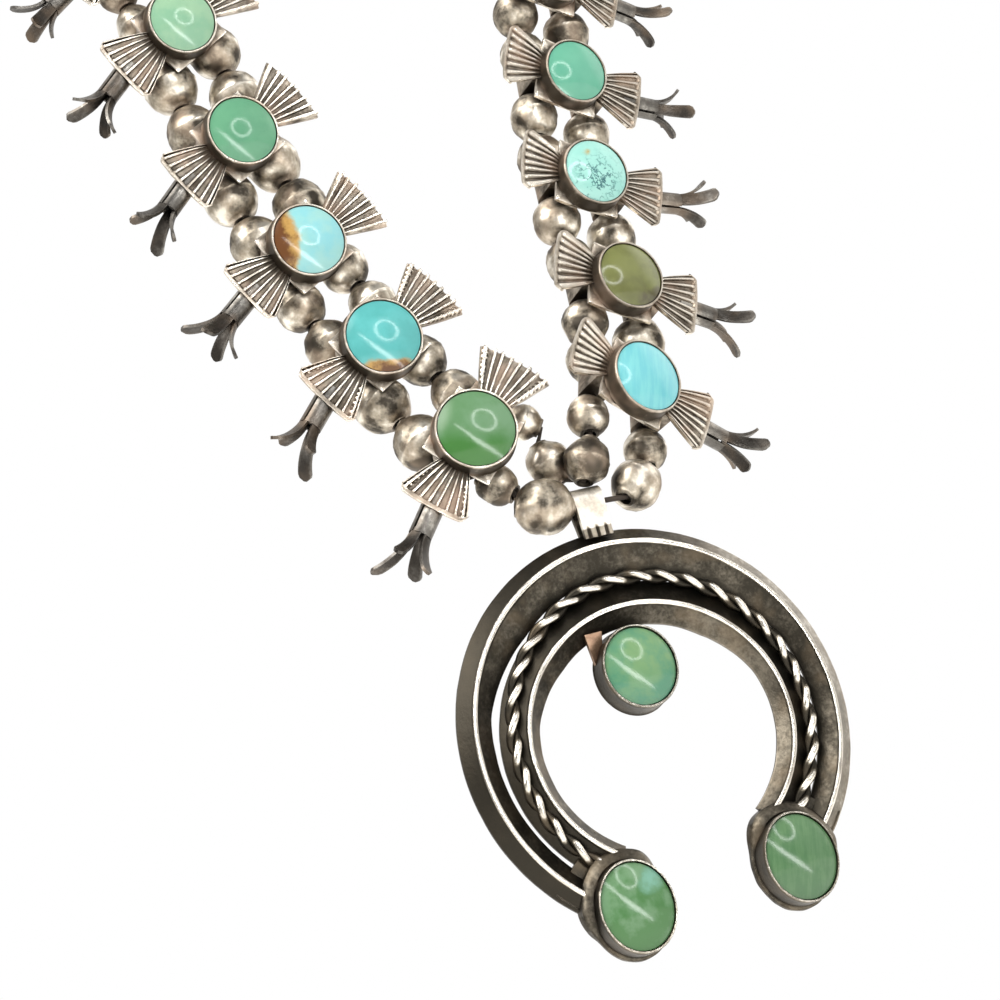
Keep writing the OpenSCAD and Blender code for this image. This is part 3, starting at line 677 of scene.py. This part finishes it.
def station(side, i):
    """One station in three pieces: its soldered silver, its blossom and its stone."""
    name = f"station_{side}{i}"
    matrix, radius = station_place(side, i)
    seed = i * 2 + (side == RIGHT)
    bm = bmesh.new()
    wear_and_light_layer(bm)
    join(bm, plate())
    join(bm, bezel(radius, PLATE_TOP - 0.1, PLATE_TOP + CUP_H))
    serrated = (side, i) in ((LEFT, 1), (LEFT, 2))
    join(bm, fan(radius - 0.7, serrated, seed, *FANS[side, "outer"]))
    inner = fan(radius - 0.7, serrated, seed + 40, *FANS[side, "inner"])
    join(bm, inner, Matrix.Diagonal((1, -1, 1, 1)))
    join(bm, straps(name, matrix))
    knocked(bm, 0.05, 2.5, seed)
    bmesh.ops.transform(bm, matrix=matrix, verts=bm.verts)
    finish(bm, name + "_silver", "strand", SILVER, [name])
    flower = knocked(blossom(seed, *BENT.get(f"{side}{i}", (0, 0))), 0.05, 2.5, seed)
    bmesh.ops.transform(flower, matrix=matrix, verts=flower.verts)
    finish(flower, name + "_blossom", "strand", BLOSSOM_SILVER)
    gem = dome(radius, 2.55, STONE_RISE)
    bmesh.ops.transform(gem, matrix=matrix @ Matrix.Translation((0, 0, STONE_BASE)), verts=gem.verts)
    add_disc(gem, matrix, radius)
    material, slot = STATION_STONES[f"{side}{i}"]
    finish(gem, f"stone_{side}{i}_cut", "strand", material, [f"stone_{side}{i}"])


# Beads
def bead(half, seed, fine):
    """One hand-made bead about z: two domes soldered at a raised seam, knocked about by wear."""
    rng = random.Random(seed)
    length = half / MM
    r = length * 0.955
    seam, worn_seam, tone = rng.uniform(0.08, 0.2), rng.uniform(0.15, 0.5), rng.uniform(0.18, 0.5)
    profile = [(1.2, length * 0.72, 0.0), (1.2, length * 0.985, 0.15), (1.35, length, 0.3),
               (1.7, length * 0.985, 0.25)]
    rows = (0, 2, 4.5, 9, 17, 27, 38, 50, 62, 72) if fine else (0, 3, 8, 18, 32, 48, 62, 72)
    for a in reversed(rows):
        t = math.radians(a)
        ridge = seam * max(0, 1 - a / 5)
        groove = seam * max(0, 1 - abs(a - 5) / 6) if a > 0 else 0
        radius = r * math.cos(t) ** 0.9 - 0.35 * groove + 0.4 * ridge
        rubbed = tone + worn_seam * max(0, 1 - a / 12)
        profile.append((max(radius, 1.72), length * math.sin(t) * 0.985, rubbed))
    profile = profile + [(x, -z, w) for x, z, w in reversed(profile[:-1])]
    bm = lathe(profile, 36 if fine else 26)
    bmesh.ops.transform(bm, matrix=Matrix.Rotation(rng.uniform(0, 6.3), 4, "Z"), verts=bm.verts)
    worn, patches = wear_and_light_layer(bm), Vector((seed * 2.7, seed * 4.9, seed * 1.3))
    for v in bm.verts:
        v[worn] += 0.55 * noise.noise(v.co / 2.6 + patches)
    knocked(bm, rng.uniform(0.18, 0.36), rng.uniform(2.2, 3.4), seed)
    knocked(bm, 0.07, 0.9, seed + 9)
    return bm


# The full beads beside the crescent: across and up in millimetres, and how much bigger than their room
FULL_BEADS = {
    "beads_left_inner": ((-2.3, -219, 1.25), (-4.9, -211, 1.12)),
    "beads_left_outer": ((-7.7, -228, 1.17), (-13, -221, 1.12)),
    "beads_right_inner": ((2.6, -222, 1.16), (6.4, -213, 1.1)),
    "beads_right_outer": ((10.6, -227.5, 1.2), (16, -221, 1.12)),
}


def bead_string(name, first_seed):
    """All beads of one string, each where the CAD model has it."""
    bm = bmesh.new()
    wear_and_light_layer(bm)
    for k, (middle, axis, half) in enumerate(loose_parts(name)):
        for x, z, grow in FULL_BEADS[name]:
            if math.hypot(middle.x / MM - x, middle.z / MM - z) < 3:
                half *= grow
        made = bead(half, first_seed + k, fine=middle.y < CLOSE_Y)
        turn = Vector((0, 0, 1)).rotation_difference(axis).to_matrix().to_4x4()
        join(bm, made, Matrix.Translation(middle) @ turn @ Matrix.Scale(MM, 4))
    finish(bm, name + "_made", "strand", BEAD_SILVER, [name], sharp=60)


# Crescent
def crescent_matrix():
    """The crescent's own frame: x to the right, y up, z to the front, zero at the middle of its bands."""
    low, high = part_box("naja")
    middle = Vector(((low.x + high.x) / 2, CRESCENT_Y, CRESCENT_TOP - CRESCENT_R * MM))
    return frame_matrix(middle, Vector((1, 0, 0)), Vector((0, 0, 1)), Vector((0, -1, 0)))


def band(edge, width, share, seed, fuller, rubbed, sweep, squash=1.0, drop=0.0):
    """Three-sided wire bent to the crescent, with one thin polished line on its ridge.

    Share places the ridge across the width, fuller is how much the inner edge grows inwards at the top, and
    rubbed is how much brighter the outer and the inner slope are painted on the right, as a painted
    reflection.
    The outer slope is also painted darker towards the left, as painted shade."""
    ridge, inner = edge - width * share, edge - width
    foot, top = 0.65, BAND_H - 0.03
    profile = [(edge, 0, 0.1), (edge, 0.5, 0.35), (edge - 0.15, foot, 0.16),
               (ridge + 0.6, BAND_H - 0.5, 0.1), (ridge + 0.46, BAND_H - 0.3, 0.1), (ridge + 0.36, top, 1.0),
               (ridge, BAND_H + 0.08, 1.0),
               (ridge - 0.36, top, 1.0), (ridge - 0.46, BAND_H - 0.3, 0.1), (ridge - 0.6, BAND_H - 0.5, 0.1),
               (inner + 0.15, foot, 0.14), (inner, 0.5, 0.3), (inner, 0, 0.1)]
    bm = lathe(profile, 150, 2 * sweep, closed=True)
    bmesh.ops.rotate(bm, matrix=Matrix.Rotation(math.radians(90 - sweep), 3, "Z"), verts=bm.verts)
    worn = wear_and_light_layer(bm)
    outer_sheen, inner_sheen = rubbed
    for v in bm.verts:
        r = math.hypot(v.co.x, v.co.y)
        share_in = max(0.0, (ridge - 0.3 - r) / (ridge - 0.3 - inner))
        r_new = r - fuller * share_in * min(1.0, max(0.0, v.co.y / r - 0.3) * 2.2)
        # Painted shade: the outer slope is painted darker towards the left
        if v.co.x < 0 and r > ridge + 0.5:
            v[worn] = 0.1 - 0.5 * min(1.0, -3 * v.co.x / r)
        # Painted reflection: the outer and the inner slope are painted brighter towards the right
        if v.co.x > 0 and abs(r - ridge) > 0.5:
            v[worn] += (inner_sheen if r < ridge else outer_sheen) * min(1.0, 1.6 * v.co.x / r)
        v.co.x *= r_new / r
        v.co.y *= squash * r_new / r
    bmesh.ops.translate(bm, vec=(0, -drop, 0), verts=bm.verts)
    return knocked(bm, 0.06, 4.0, seed)


def rope():
    """Two wires twisted together, bright only along the top of each turn, where they are rubbed and a
    highlight is painted, and painted dark below as shade.
    """
    bm = bmesh.new()
    wear_and_light_layer(bm)
    steps = 330
    for phase in (0.0, math.pi):
        path = []
        for k in range(steps + 1):
            t = k / steps
            a = math.radians(90 - BAND_SWEEP + 2 * BAND_SWEEP * t)
            twist = phase - 2 * math.pi * ROPE_TURNS * t
            r = ROPE_R + ROPE_TWIST * math.cos(twist)
            path.append(Vector((r * math.cos(a) + ROPE_ASIDE, r * math.sin(a) - ROPE_DROP,
                                ROPE_D / 2 + 0.5 + ROPE_TWIST * math.sin(twist))))
        # Painted highlight and shade: each wire is bright at its top, where it is also rubbed, and painted
        # dark below
        join(bm, tube(path, ROPE_WIRE, 12, wear_and_light_by=lambda p: min(1.0, max(-0.1, (p.z - 2.45) / 0.25))))
    return bm


def polar_plate():
    """Plate under each end cup that ties the two bands and the rope together."""
    bm = bmesh.new()
    wear_and_light_layer(bm)
    near, far = BAND_SWEEP - 11, BAND_SWEEP + 6
    inner, thick = INNER_R - INNER_W, 1.1
    for side in (-1, 1):
        def shape(u, v):
            a = math.radians(near + (far - near) * v)
            r = (CRESCENT_R - 0.4) * (1 - u) + (inner + 0.8 + 2.2 * v) * u
            return Vector((side * r * math.sin(a), r * math.cos(a), thick)), 0.1
        part = sheet(8, 6, shape)
        bmesh.ops.recalc_face_normals(part, faces=part.faces)
        if part.faces[0].normal.z < 0:
            bmesh.ops.reverse_faces(part, faces=part.faces)
        bmesh.ops.solidify(part, geom=part.faces[:], thickness=thick)
        join(bm, part)
    return bm


def bail():
    """Flat strip bent over the string, three filed grooves at its foot."""
    arc = math.pi * BAIL_R
    total = 2 * BAIL_LEG + arc

    def shape(u, v):
        d = u * total
        if d < BAIL_LEG:
            y, z = -1.55 - 0.7 * d / BAIL_LEG, d - BAIL_LEG
        elif d < BAIL_LEG + arc:
            a = (d - BAIL_LEG) / BAIL_R
            y, z = -BAIL_R * math.cos(a), BAIL_R * math.sin(a)
        else:
            k = (d - BAIL_LEG - arc) / BAIL_LEG
            y, z = BAIL_R - 0.7 * k, -BAIL_LEG * k
        x = (v - 0.5) * BAIL_W * (1 - 0.03 * math.cos(math.pi * 2 * u))
        groove = 0.0
        if d < 2.3:
            groove = max(0, math.cos(2 * math.pi * (v * 3.2 + 0.4))) ** 2 * min(1, (2.3 - d) / 0.8)
        # The grooves are darker, and the foot and the back leg are painted darker as shade
        bright = 0.85 - 1.2 * groove - 0.5 * (d < 1.7) - 0.7 * (d > BAIL_LEG + 0.6 * arc)
        return Vector((x, y + groove * 0.4, z)), bright

    return sheet(70, 30, shape, BAIL_T)


def collar(radius, wide, low, centre):
    """Solder collar round an end cup, broad and tall on the side where it covers the ends of the bands."""
    bm = lathe([(radius + 0.2, low, 0.1), (radius + 2.9, low, 0.1), (radius + 2.8, low + 2.3, 0.12),
                (radius + 2.2, low + 2.9, 0.3), (radius + 0.9, low + 3.4, 0.2),
                (radius + 0.2, low + 3.2, 0.0)], 96)
    towards = Vector((math.copysign(0.45, centre.x), 1, 0)).normalized()
    for v in bm.verts:
        r = math.hypot(v.co.x, v.co.y)
        facing = (v.co.x * towards.x + v.co.y * towards.y) / r
        share = min(1.0, max(0.0, (facing + 0.1) / 0.7))
        share = share * share * (3 - 2 * share)
        r_new = radius + (r - radius) * (0.42 + 0.58 * share)
        v.co.x *= r_new / r * wide
        v.co.y *= r_new / r
        v.co.z = low + (v.co.z - low) * (0.3 + 0.7 * share)
    return knocked(bm, 0.12, 2.2, 4)


def crescent_cup(bm, matrix, name, material):
    """Adds the cup of one of the crescent's stones to bm and makes the stone itself."""
    corners = points(f"naja_stone_{name}")
    low, high = corners.min(0), corners.max(0)
    wide, depth, tall = (high - low) / MM
    stretch = wide / tall
    centre = matrix.inverted() @ Vector((low + high) / 2)
    base = (matrix.inverted() @ Vector((0, high[1], 0))).z
    place = Matrix.Translation((centre.x, centre.y, base))
    join(bm, bezel(tall / 2, -base, depth - 0.9, stretch, 96), place)
    wall = tall / 2 + 0.3
    back = lathe([(0, -base, 0.2), (wall, -base, 0.2), (wall, -0.2, 0.2), (0, -0.2, 0.2)], 48)
    bmesh.ops.scale(back, vec=(stretch, 1, 1), verts=back.verts)
    join(bm, back, place)
    if name != "middle":
        join(bm, collar(tall / 2, stretch, -base, centre), place)
    gem = dome(tall / 2, depth - STONE_RISE, STONE_RISE, stretch, 80)
    bmesh.ops.transform(gem, matrix=matrix @ place, verts=gem.verts)
    add_disc(gem, matrix @ place @ Matrix.Translation((0, 0, -STONE_BASE)), tall / 2)
    finish(gem, f"naja_stone_{name}_cut", "naja", material, [f"naja_stone_{name}"])


def tab():
    """Small piece of solder between the inner band and the middle cup, narrower below."""
    left, foot, height, lean = -7.6, 12.6, 5.3, 0.8

    def shape(u, v):
        x = left - 0.6 * v + (1.5 + 1.7 * v) * u
        return Vector((x, foot + height * v, 0.5 + lean * v)), 0.35

    return sheet(6, 6, shape, 0.9)


def crescent():
    """The crescent's stones, its coppery tab, its bail and its soldered silver."""
    matrix = crescent_matrix()
    bm = bmesh.new()
    wear_and_light_layer(bm)
    # The pair in each band's call is its painted reflection on the right, on the outer and the inner slope
    join(bm, band(CRESCENT_R, OUTER_W, 0.45, 3, 2.1, (0.3, 0.0), BAND_SWEEP))
    join(bm, band(INNER_R, INNER_W, 0.66, 5, 1.2, (0.0, 0.16), INNER_SWEEP, INNER_SQUASH, INNER_DROP))
    join(bm, rope())
    join(bm, polar_plate())
    for name, material in NAJA_STONES.items():
        crescent_cup(bm, matrix, name, material)
    solder = tab()
    bmesh.ops.transform(solder, matrix=matrix, verts=solder.verts)
    finish(solder, "naja_tab_solder", "naja", COPPERY)
    knocked(bm, 0.03, 1.5, 8)
    bmesh.ops.transform(bm, matrix=matrix, verts=bm.verts)
    strip = bail()
    hinge = frame_matrix(BAIL_AXIS, Vector((1, 0, 0)), Vector((0, 1, 0)), Vector((0, 0, 1)))
    bmesh.ops.transform(strip, matrix=hinge, verts=strip.verts)
    finish(strip, "naja_bail", "naja", BAIL_SILVER)
    finish(bm, "naja_silver", "naja", CRESCENT_SILVER, ["naja"])


# The stones' colours
GREEN, BLUE = "stone_green", "stone_blue"

# Each row: slot, name, main and deep colour, clouds, and where it has them rock, fall, flecks and streaks
RUST = ((0.33, 0.20, 0.06), (0.095, 0.038, 0.013))
STONE_LOOKS = {
    "l1": (GREEN, "jade green stone", (0.095, 0.185, 0.10), (0.038, 0.125, 0.03), 0.35, NO_ROCK, 0.9),
    "l2": (BLUE, "turquoise with brown edge", (0.076, 0.308, 0.305), (0.048, 0.232, 0.224), 0.5,
           (*RUST, (0.28, -0.9), (0.75, 1.4), 0.6)),
    "l3": (BLUE, "sky blue with rust patch", (0.165, 0.39, 0.42), (0.245, 0.42, 0.37), 0.6,
           (*RUST, (-0.95, -0.25), (1.05, 0.62), 0.86)),
    "l4": (GREEN, "sea green stone", (0.09, 0.244, 0.143), (0.066, 0.20, 0.117), 0.6),
    "l5": (GREEN, "mint stone", (0.20, 0.34, 0.22), (0.12, 0.285, 0.19), 0.5),
    "l6": (BLUE, "soft blue stone", (0.14, 0.32, 0.29), (0.10, 0.27, 0.245), 0.5),
    "r1": (BLUE, "sky stone with streaks", (0.10, 0.33, 0.37), (0.13, 0.38, 0.39), 0.3,
           NO_ROCK, 0.0, 0.0, 0.7),
    "r2": (GREEN, "olive stone", (0.12, 0.132, 0.045), (0.066, 0.067, 0.028), 0.5,
           ((0.09, 0.09, 0.04), (0.06, 0.055, 0.03), (1.0, -0.7), (1, 1), 0.55)),
    "r3": (BLUE, "aqua with dark flecks", (0.235, 0.445, 0.40), (0.175, 0.40, 0.355), 0.5,
           ((0.30, 0.24, 0.09), (0.26, 0.17, 0.05), (-0.08, 0.7), (1, 1), 0.03), 0.0, 1.0),
    "r4": (GREEN, "spring green stone", (0.09, 0.28, 0.194), (0.065, 0.237, 0.168), 0.4),
    "r5": (BLUE, "pale turquoise stone", (0.19, 0.37, 0.345), (0.13, 0.34, 0.31), 0.5),
    "r6": (GREEN, "dull green stone", (0.15, 0.28, 0.20), (0.10, 0.23, 0.16), 0.5),
}
STATION_STONES = {key: (stone_material(*look), slot) for key, (slot, *look) in STONE_LOOKS.items()}
NAJA_STONES = {
    "left": stone_material("green stone with blue top", (0.099, 0.185, 0.10), (0.043, 0.122, 0.039), 1.0,
                           ((0.09, 0.20, 0.13), (0.115, 0.25, 0.19), (0.42, 0.8), (1, 1), 0.26), 0.4),
    "right": stone_material("grass green stone", (0.076, 0.146, 0.07), (0.049, 0.111, 0.05), 0.6,
                            NO_ROCK, 0.2, 0.0, 0.5),
    "middle": stone_material("leaf green stone", (0.115, 0.21, 0.098), (0.055, 0.167, 0.102), 0.8,
                             NO_ROCK, 0.5),
}

for side in (LEFT, RIGHT):
    for i in range(1, STATIONS + 1):
        station(side, i)
for number, name in enumerate(FULL_BEADS):
    bead_string(name, 100 * (number + 1))
crescent()

# The CAD pieces that stay in the picture
for name in ("thread_inner", "thread_outer", "clasp"):
    obj = nodes[name]
    obj.data.materials.clear()
    obj.data.materials.append(SILVER if name == "clasp" else THREAD)


# Light, backdrop and camera
GLOW = 12.0
RING_R, RING_INSIDE = 0.105, 0.84


def lamp(name, at, aim, size, power, colour):
    """A soft square lamp that lights the stones and isn't mirrored in the silver."""
    data = bpy.data.lights.new(name, "AREA")
    data.shape = "RECTANGLE"
    data.size, data.size_y = size, size
    data.energy = power
    data.color = colour
    obj = bpy.data.objects.new(name, data)
    obj.location = at
    obj.rotation_mode = "QUATERNION"
    obj.rotation_quaternion = (Vector(aim) - Vector(at)).to_track_quat("-Z", "Y")
    obj.visible_glossy = False
    scene.collection.objects.link(obj)


def glow(name, bm):
    """A white glowing shape made from bm."""
    mesh = bpy.data.meshes.new(name)
    bm.to_mesh(mesh)
    bm.free()
    material = bpy.data.materials.new(name)
    material.use_nodes = True
    tree = material.node_tree
    tree.nodes.remove(tree.nodes["Principled BSDF"])
    shine = put(tree, "ShaderNodeEmission", inputs={"Color": (1, 1, 1, 1), "Strength": GLOW})
    tree.links.new(shine.outputs[0], tree.nodes["Material Output"].inputs["Surface"])
    mesh.materials.append(material)
    obj = bpy.data.objects.new(name, mesh)
    scene.collection.objects.link(obj)
    return obj


target = Vector((0, -0.13, -0.2))
for name, at, size, power, colour in (("key", (-0.6, -0.8, 0.5), 0.5, 6.3, (1, 0.98, 0.95)),
                                      ("fill", (0.8, -0.6, -0.2), 0.6, 3.1, (0.97, 0.98, 1))):
    lamp(name, at, target, size, power, colour)

# Round lamp above the lens and a strip below it: their reflections are the ring and the streak on each stone
ring = bmesh.new()
bmesh.ops.create_circle(ring, segments=64, radius=RING_R)
grown = bmesh.ops.extrude_edge_only(ring, edges=ring.edges[:])["geom"]
ring_verts = [v for v in grown if isinstance(v, bmesh.types.BMVert)]
bmesh.ops.scale(ring, vec=(RING_INSIDE, RING_INSIDE, 1), verts=ring_verts)
ring_at = CAMERA_AT + seen_right * 0.17 + seen_up * 0.325 + forward * 0.08
ring_obj = glow("ring lamp", ring)
ring_obj.location = ring_at
ring_obj.rotation_mode = "QUATERNION"
ring_obj.rotation_quaternion = (target - ring_at).to_track_quat("Z", "Y")

# Each row: to the right, up and back of the lens, and the strip's width there
STRIP = ((-0.07, 0.31, 0.0, 0.01), (0.02, 0.25, 0.03, 0.03), (0.10, 0.19, 0.05, 0.05),
         (0.19, 0.13, 0.04, 0.05), (0.28, 0.07, 0.0, 0.035), (0.36, 0.01, -0.05, 0.01))


def strip_point(u, v):
    """A place on the strip lamp, whose wear doesn't matter."""
    right, up, back, width = STRIP[round(u * (len(STRIP) - 1))]
    return CAMERA_AT + seen_right * right + seen_up * (up + width * (v - 0.5)) - forward * back, 0.0


glow("strip lamp", sheet(len(STRIP) - 1, 1, strip_point))

floor = bpy.data.meshes.new("floor")
flat = bmesh.new()
bmesh.ops.create_grid(flat, x_segments=1, y_segments=1, size=4)
flat.to_mesh(floor)
flat.free()
floor.materials.append(plain("pale floor", (0.8, 0.8, 0.79), 0.9))
floor_obj = bpy.data.objects.new("floor", floor)
floor_obj.location = (0, 0, -0.62)
scene.collection.objects.link(floor_obj)

world = bpy.data.worlds.new("studio")
scene.world = world
world.use_nodes = True
tree = world.node_tree
back = tree.nodes["Background"]
seen = put(tree, "ShaderNodeBackground", inputs={"Color": (1, 1, 1, 1), "Strength": 1.0})
path = put(tree, "ShaderNodeLightPath")
blend = put(tree, "ShaderNodeMixShader")
where = put(tree, "ShaderNodeTexCoord")


def shine_from(direction, inner, outer, strength):
    """A soft bright patch of the room in that direction, full within inner and gone beyond outer."""
    facing = put(tree, "ShaderNodeVectorMath", operation="DOT_PRODUCT",
                 inputs={1: Vector(direction).normalized()})
    tree.links.new(where.outputs["Generated"], facing.inputs[0])
    return ranged(tree, facing.outputs["Value"], outer, inner, 0.0, strength)


# Bright patches: direction, cosines where each is full and where it is gone, and strength
ROOM = 0.27
PATCHES = (((-0.64, -0.38, 0.78), 0.93, 0.80, 5.4), ((0.95, 0.1, 0.35), 0.95, 0.80, 1.6),
           ((0, 1, 0), 0.9, 0.2, 0.7), ((-0.2, -0.3, -1), 0.98, 0.85, 0.5),
           ((0.1, 0.3, 1), 0.98, 0.9, 2.0), ((0.68, -0.66, 0.31), 0.985, 0.87, 0.6))
room = ROOM
for patch in PATCHES:
    room = sums(tree, "ADD", room, shine_from(*patch))
tree.links.new(room, back.inputs["Strength"])
back.inputs["Color"].default_value = (1.0, 0.97, 0.93, 1)
tree.links.new(path.outputs["Is Camera Ray"], blend.inputs[0])
tree.links.new(back.outputs[0], blend.inputs[1])
tree.links.new(seen.outputs[0], blend.inputs[2])
tree.links.new(blend.outputs[0], tree.nodes["World Output"].inputs["Surface"])

camera = bpy.data.cameras.new("camera")
camera.lens = CAMERA_LENS
camera.sensor_width = 36
camera.clip_start, camera.clip_end = 0.01, 20
eye = bpy.data.objects.new("camera", camera)
turn = Matrix((seen_right, seen_up, -forward)).transposed()
eye.matrix_world = Matrix.Translation(CAMERA_AT) @ turn.to_4x4()
scene.collection.objects.link(eye)
scene.camera = eye
scene.view_settings.view_transform = "Standard"
scene.view_settings.look = "None"
